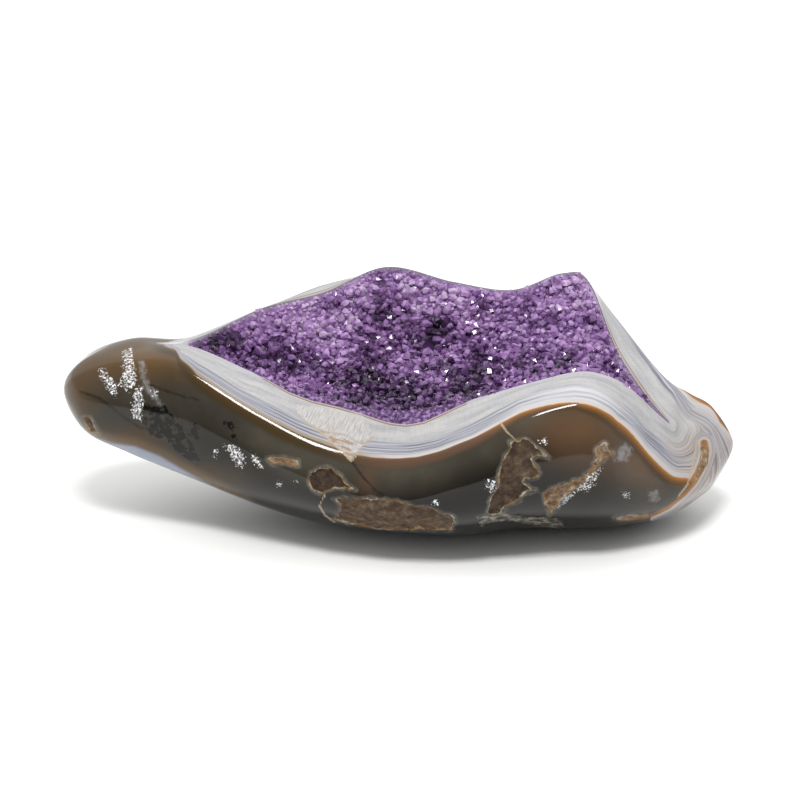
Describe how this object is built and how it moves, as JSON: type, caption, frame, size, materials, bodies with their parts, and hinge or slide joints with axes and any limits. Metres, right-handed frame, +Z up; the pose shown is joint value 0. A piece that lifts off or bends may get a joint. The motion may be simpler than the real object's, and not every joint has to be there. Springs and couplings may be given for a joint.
{
  "type": "amethyst cluster",
  "caption": "Polished agate freeform stone with a hollow lined by small purple amethyst crystals, standing on a flat-ground foot.",
  "frame": {"origin": "on the ground, under the middle of the stone's box", "axes": "+X along the stone from its raised nose to its low tail, +Y away from the viewer who looks into the hollow, +Z up"},
  "size_m": [0.2416, 0.1114, 0.0816],
  "materials": {
    "agate": "polished to a high gloss: dark grey-brown translucent agate with a white and blue-grey banded margin along the hollow, ochre between them, and rough brown patches",
    "amethyst": "glassy purple quartz crystals, partly see-through, paler along the polished rim"
  },
  "bodies": {
    "root": {"agate_body": "agate", "amethyst_crust": "amethyst"}
  },
  "joints": []
}
